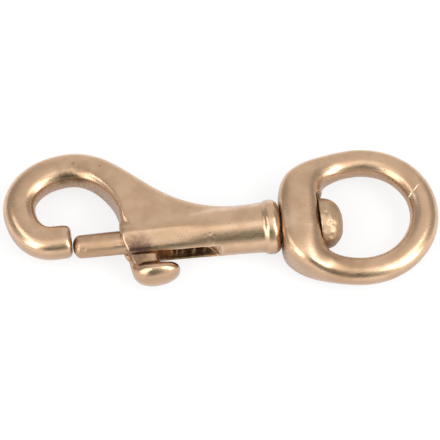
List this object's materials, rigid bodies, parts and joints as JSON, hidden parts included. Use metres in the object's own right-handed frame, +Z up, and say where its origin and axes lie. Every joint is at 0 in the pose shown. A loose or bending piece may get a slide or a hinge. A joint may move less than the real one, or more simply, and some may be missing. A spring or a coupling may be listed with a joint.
{
  "type": "snap hook",
  "caption": "Cast brass snap hook with a sprung sliding bolt across its hook, a thumb knob in a barrel slot, and a swivel eye held by a domed pin.",
  "frame": {"origin": "centre of the round of the swivel eye, on the swivel axis", "axes": "+X along the barrel from the hook to the eye, +Y towards the crown of the hook, +Z up from the surface the part lies on"},
  "size_m": [0.0845, 0.0342, 0.0108],
  "materials": {
    "cast_brass": "satin-polished casting with small pits",
    "pin_brass": "rough domed head, dull",
    "spring_wire": "drawn wire"
  },
  "bodies": {
    "hook": {"hook_body": "cast_brass", "swivel_pin": "pin_brass", "bolt_spring": "spring_wire"},
    "bolt": {"bolt": "cast_brass"},
    "eye": {"swivel_eye": "cast_brass"}
  },
  "joints": [
    {"name": "bolt_slide", "type": "slide", "parent": "hook", "child": "bolt", "axis": [1, 0, 0], "range_m": [0, 0.0096], "stiffness_N_per_m": 300, "springref_m": -0.006, "deforming": ["bolt_spring"]},
    {"name": "eye_swivel", "type": "hinge", "parent": "hook", "child": "eye", "pos_m": [-0.0116, 0, 0], "axis": [1, 0, 0], "continuous": true}
  ]
}
